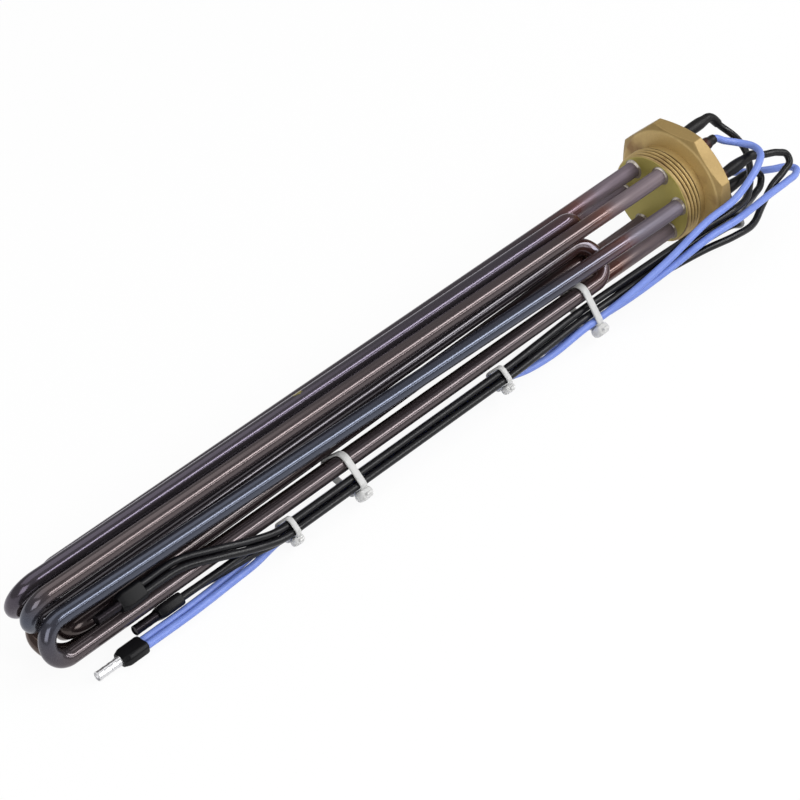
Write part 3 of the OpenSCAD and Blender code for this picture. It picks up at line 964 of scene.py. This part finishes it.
# %% Sleeve finish
ring_end, ring_gone = 0.017, 0.022
shrunk = Finish("sleeve_black", roughness=0.45)
shrunk.feed("Specular IOR Level", 0.25)
grain = shrunk.group(mottle, Broad_Scale=250, Fine_Scale=2200)
fresh = shrunk.span(shrunk.axes(shrunk.place())["X"], ring_end, ring_gone)
black = shrunk.mix(grain["Broad"], paint(6, 5, 6), paint(14, 12, 13))
shrunk.feed("Base Color", shrunk.mix(fresh, paint(84, 32, 22), black))
shrunk.bump(grain["Fine"], distance=0.0001, strength=0.4)
dress(sleeves, shrunk, "sleeve_black", "terminal_sleeves")
print("sleeve finish", len(shrunk.tree.nodes), "nodes")

# %% [markdown]
# ## Ferrules
# Two leads end together in one ferrule: a moulded collar over their insulation and a tinned tube
# that is crimped on the strands. A cylinder with a bump would do from afar, but the crimp shows
# at the outline. The collar is a loft of octagons that narrows towards the tube. The tube is
# squared by the crimp, with shallow bites along it, and its mouth is a shallow recess where the
# strands end. A row gives a ferrule's place along the tubes, its place across the bundle and its
# turn in degrees.

# %% Ferrule outlines
collar_w, collar_t, collar_len, collar_cut = 9.4, 6.2, 14, 1.4
ferrule_d, ferrule_len = 4.8, 13
ferrules = [(374, (11.7, 10.4), 0), (357, (25, 1.5), 90), (385, (31.6, 3.1), 42)]
tip_sides, square_depth = 32, 0.12


def ferrule_point(ferrule, a, b, s):
    start, (u, w), degrees = ferrule
    turn = math.radians(degrees)
    return at(
        start + s,
        u + a * math.cos(turn) - b * math.sin(turn),
        w + a * math.sin(turn) + b * math.cos(turn),
    )


def collar_row(ferrule, s, share):
    a, b, c = collar_w / 2 * share, collar_t / 2 * share, collar_cut
    outline = [
        (-a, -b + c), (-a + c, -b), (a - c, -b), (a, -b + c),
        (a, b - c), (a - c, b), (-a + c, b), (-a, b - c),
    ]
    return [ferrule_point(ferrule, p, q, s) for p, q in outline]


def tip_row(ferrule, s, radius, square):
    row = []
    for j in range(tip_sides):
        angle = 2 * math.pi * j / tip_sides
        r = radius * (1 - square * (0.5 - 0.5 * math.cos(4 * angle)) * square_depth)
        row.append(ferrule_point(ferrule, r * math.cos(angle), r * math.sin(angle), s))
    return row


print("collar corners", len(collar_row(ferrules[0], 0, 1)))

# %% [markdown]
# Both shapes are lists of outlines along the ferrule. The collar's list has a place and a share
# of the full width. The tube's list has a place, a share of the radius and how square the crimp
# made it.

# %% Ferrule shapes
collar_profile = [(0, 0.94), (1.2, 1), (collar_len - 3, 1), (collar_len, 0.8)]
bites, bite_start, bite_pitch = 3, collar_len + 2, 3.4
tip_end = collar_len + ferrule_len
tip_profile = [(collar_len - 1, 1, 0)]
for k in range(bites):
    s = bite_start + k * bite_pitch
    tip_profile += [(s, 1, 0.4), (s + 0.6, 0.97, 0.7), (s + 1.6, 0.97, 0.7)]
tip_profile += [
    (tip_end - 0.1, 1, 0.2), (tip_end, 0.94, 0.2), (tip_end, 0.8, 0.2), (tip_end - 0.5, 0.76, 0.2),
]
collars, tips = [], []
for i, ferrule in enumerate(ferrules):
    rows = [collar_row(ferrule, s, share) for s, share in collar_profile]
    collars.append(solid(f"ferrule_{i + 1}_collar", *joined(rows), sharp=20, bevel=0.45))
    rows = [tip_row(ferrule, s, ferrule_d / 2 * share, square) for s, share, square in tip_profile]
    tips.append(solid(f"ferrule_{i + 1}_tip", *joined(rows), sharp=40))
print("ferrules", [c.name for c in collars])

# %% [markdown]
# The collars are matte black plastic. One tube is bright tin with a faint grain, and the other
# two are coloured dark. One material serves all three: the place across the bundle tells the
# bright tube from the dark ones.

# %% Ferrule finishes
dark_gone, dark_full = 0.0286, 0.0280
moulded = grained("collar_black", paint(5, 5, 7), paint(12, 12, 15), roughness=0.4,
                  scales=(220, 2600), spread=None, depth=0.00008, strength=0.4)
moulded.feed("Specular IOR Level", 0.15)
tinned = Finish("ferrule_tin", roughness=0.3, metallic=0.85)
grain = tinned.group(mottle, Broad_Scale=400, Fine_Scale=1600)
bright = tinned.mix(grain["Broad"], paint(190, 190, 194), paint(236, 236, 236))
# Tubes less than about 28 mm across the bundle are coloured dark grey.
across = tinned.vector("DOT_PRODUCT", tinned.place(), at(0, 1, 0))["Value"]
darkened = tinned.span(across, dark_gone, dark_full)
tinned.feed("Base Color", tinned.mix(darkened, bright, paint(34, 30, 34)))
tinned.feed("Roughness", tinned.span(grain["Fine"], *noise_range, 0.24, 0.4))
tinned.bump(grain["Fine"], distance=0.00006, strength=0.25)
for i, (collar, tip) in enumerate(zip(collars, tips)):
    dress(collar, moulded, "collar_black", f"ferrule_collar_{i + 1}")
    dress(tip, tinned, "ferrule_tin", f"ferrule_tube_{i + 1}")
print("ferrule finishes", moulded.material.name, tinned.material.name)

# %% [markdown]
# ## Cable ties
# A nylon tie is one strap that goes round what it holds and through its own head. A torus would
# leave gaps, because a tight strap runs straight from one lead to the next. Its path is the
# outline of what it holds: the convex hull of the circles of those leads and tubes. A row gives
# the tie's place, the width of its strap, the size of its head, the head's lower edge and what
# the tie holds.

# %% What the ties hold
tie_t, tie_slack = 1.2, 0.3
hull_sides, hull_step = 72, 0.8
spread_leads = [(u, w, lead_d) for u in (24.4, 32.2) for w in (4.2, 0.3)]
tied_leads = [(u, w, lead_d) for u in (26, 29.9) for w in (6, -2)]
ties = [
    (87, 3.6, 7.5, -1, [(17.5, 5.5, tube_d), (17.1, -2.9, tube_d)] + spread_leads),
    (151, 2.6, 5.8, 0.5, tied_leads),
    (250, 3.6, 7.5, 0.5, [(17.6, 4.2, tube_d), (16.7, -5.6, tube_d)] + tied_leads),
    (292, 2.6, 5.8, 0.5, tied_leads),
]


def hull(points):
    points = sorted(set(points))
    halves = []
    for ordered in (points, points[::-1]):
        half = []
        for p in ordered:
            while len(half) > 1:
                (ax, ay), (bx, by) = half[-2], half[-1]
                if (bx - ax) * (p[1] - ay) - (by - ay) * (p[0] - ax) > 0:
                    break
                half.pop()
            half.append(p)
        halves.append(half[:-1])
    return halves[0] + halves[1]


def strap_outline(held):
    circles = []
    for u, w, d in held:
        r = d / 2 + tie_slack
        for j in range(hull_sides):
            angle = 2 * math.pi * j / hull_sides
            circles.append((round(u + r * math.cos(angle), 4), round(w + r * math.sin(angle), 4)))
    ring = hull(circles)
    path = []
    for p, q in zip(ring, ring[1:] + ring[:1]):
        pieces = max(1, round(math.dist(p, q) / hull_step))
        for k in range(pieces):
            path.append((p[0] + (q[0] - p[0]) * k / pieces, p[1] + (q[1] - p[1]) * k / pieces))
    return path


print("outline points", [len(strap_outline(row[-1])) for row in ties])

# %% [markdown]
# The strap is a ribbon along that path, with its edges broken. The head is a rounded block, and a
# short cut tail stands out of it. Both blocks are stacked superellipses, which go from round to
# square by one power.

# %% Tie shapes
strap_section = (
    (-1, 0.15), (-0.85, 0), (0.85, 0), (1, 0.15), (1, 0.8), (0.8, 1), (-0.8, 1), (-1, 0.8),
)
block_sides = 28
head_depth = 0.75
tail_place, tail_rise = 0.35, 0.3
tail_gap, tail_sunk = 0.15, 0.5


def strap(s, width, held):
    path = strap_outline(held)
    rows = []
    for i, p in enumerate(path):
        q, r = path[i - 1], path[(i + 1) % len(path)]
        length = math.dist(q, r)
        out = ((r[1] - q[1]) / length, -(r[0] - q[0]) / length)
        rows.append([
            at(s + a * width / 2, p[0] + out[0] * b * tie_t, p[1] + out[1] * b * tie_t)
            for a, b in strap_section
        ])
    return joined(rows, wrap_rows=True)


def block(s, u, w, size, soft, power):
    long, tall, wide = size
    layers = (
        (0, soft), (0.06, soft / 2), (0.18, soft / 6), (0.5, 0),
        (0.82, soft / 6), (0.94, soft / 2), (1, soft),
    )
    rows = []
    for share, inset in layers:
        row = []
        for j in range(block_sides):
            angle = 2 * math.pi * j / block_sides
            c, d = math.cos(angle), math.sin(angle)
            bulge = (abs(c) ** power + abs(d) ** power) ** (-1 / power) * (1 - inset)
            row.append(at(
                s + wide / 2 * bulge * c, u + long * (0.5 + 0.5 * bulge * d), w + tall * share))
        rows.append(row)
    return joined(rows)


def tie(i, s, width, side, low, held):
    outer = max(u + d / 2 for u, w, d in held) + tie_slack
    head_size = (side * head_depth, side, side)
    tail_u, tail_w = outer + side * tail_place + tail_gap, low + side - tail_sunk
    tail_size = (tie_t, side * tail_rise, width)
    parts = [
        strap(s, width, held),
        block(s, outer, low, head_size, soft=0.34, power=3),
        block(s, tail_u, tail_w, tail_size, soft=0.1, power=6),
    ]
    return solid(f"tie_{i + 1}", *together(parts), sharp=45)


tie_pieces = [tie(i, *row) for i, row in enumerate(ties)]
print("ties", [(t.name, len(t.data.polygons)) for t in tie_pieces])

# %% [markdown]
# Natural nylon is milky: light goes in, spreads and comes out again. White paint would look hard,
# so some of the light passes through and some scatters inside, over about two millimetres.

# %% Tie finish
nylon = grained("tie_nylon", paint(206, 206, 206), paint(228, 228, 226), roughness=0.36,
                scales=(200, 1500), spread=None, depth=0.00006, strength=0.1)
nylon.feed("Transmission Weight", 0.3)
nylon.feed("IOR", 1.4)
nylon.feed("Subsurface Weight", 0.3)
nylon.feed("Subsurface Radius", (1, 1, 1))
nylon.feed("Subsurface Scale", 0.002)
for i, piece in enumerate(tie_pieces):
    dress(piece, nylon, "tie_nylon", f"cable_tie_{i + 1}")
print("tie finish", nylon.material.name)

# %% [markdown]
# ## Inner pieces
# Magnesia, coils, terminal pins, crimps and end seals stay as the packed solids. Most of them are
# closed in, and the ends that show behind the head only need their own finish, so no mesh is
# built.

# %% Inner finishes
chalk = grained("magnesia", paint(214, 208, 196), paint(238, 234, 224), roughness=0.8)
bead = grained("seal_ceramic", paint(196, 186, 168), paint(228, 220, 204), roughness=0.5)
steel = grained("terminal_steel", paint(142, 142, 146), paint(182, 182, 186),
                roughness=0.36, metallic=0.9)
wire = grained("coil_wire", paint(96, 92, 90), paint(128, 122, 118),
               roughness=0.4, metallic=0.9)
inner = {"terminal_pins": steel, "crimp_barrels": steel, "end_seals": bead}
for i in range(len(elements)):
    inner[f"magnesia_fill_{i + 1}"] = chalk
    inner[f"resistance_coil_{i + 1}"] = wire
for name, finish in inner.items():
    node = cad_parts[name]
    node.data.materials.clear()
    node.data.materials.append(finish.material)
print("inner solids", len(inner))

# %% [markdown]
# ## Cords
# The leads are free cords.

# %% [markdown]
# ## Floor and light
# The heater lies on a plain white floor. It rests on a corner of its head and on the far leads,
# so the floor is a little tilted in the part's own frame. Strong lamps could bleach the floor,
# but they would bleach the part too. Instead the floor shows as white to the camera, in
# reflections and through the nylon, and a share of real shading stays in, which keeps the soft
# shadow.

# %% Floor
floor_z, floor_slope, floor_half = -31.3, 0.0227, 3000
floor_white, floor_glow = 0.86, 0.93
floor_corners = [(a * floor_half, b * floor_half) for a, b in ((-1, -1), (1, -1), (1, 1), (-1, 1))]
floor_points = [(x, y, floor_z - floor_slope * x) for x, y in floor_corners]
floor = solid("floor", floor_points, [(0, 1, 2, 3)])
ground = Finish("floor_white", roughness=0.6)
ground.feed("Base Color", (floor_white, floor_white, floor_white, 1))
glow = ground.add("ShaderNodeEmission").outputs["Emission"]
ray = ground.add("ShaderNodeLightPath").outputs
seen = ground.number("MAXIMUM", ray["Is Camera Ray"], ray["Is Glossy Ray"])
seen = ground.number("MAXIMUM", seen, ray["Is Transmission Ray"])
blend = ground.add("ShaderNodeMixShader")
ground.put(ground.number("MULTIPLY", seen, floor_glow), blend.inputs["Fac"])
ground.put(ground.shader.outputs["BSDF"], blend.inputs[1])
ground.put(glow, blend.inputs[2])
ground.put(blend.outputs["Shader"], ground.tree.nodes["Material Output"].inputs["Surface"])
floor.data.materials.append(ground.material)
print("floor under the head at", round(floor_z, 1), "mm")

# %% [markdown]
# A single lamp would leave the round tubes flat. The light is a wide lamp overhead, two long
# narrow strips in front that draw the bright lines on the tubes, a fill from the tubes' side and
# a pale sky. Places and sizes are in metres and powers in watts.

# %% Light
sky_strength = 0.32
lamp_aim = Vector((-0.19, 0, 0))
world = bpy.data.worlds.new("studio")
world.use_nodes = True
scene.world = world
sky = world.node_tree.nodes["Background"]
sky.inputs["Color"].default_value = (1, 1, 1, 1)
sky.inputs["Strength"].default_value = sky_strength


def lamp(name, spot, size, power):
    light = bpy.data.lights.new(name, "AREA")
    light.shape = "RECTANGLE"
    light.size, light.size_y = size
    light.energy = power
    holder = bpy.data.objects.new(name, light)
    holder.location = spot
    holder.rotation_mode = "QUATERNION"
    holder.rotation_quaternion = (lamp_aim - Vector(spot)).to_track_quat("-Z", "Y")
    scene.collection.objects.link(holder)
    return holder


lamps = [
    lamp("overhead", spot=(-0.2, 0.5, 1.6), size=(2.0, 1.6), power=12),
    lamp("front_strip", spot=(0.63, -0.85, 0.92), size=(1.6, 0.22), power=14),
    lamp("low_strip", spot=(0.7, -1.1, 0.5), size=(1.6, 0.12), power=5),
    lamp("side_fill", spot=(-1.2, -0.6, 0.6), size=(0.8, 0.8), power=7),
]
print("lamps", [holder.name for holder in lamps])

# %% [markdown]
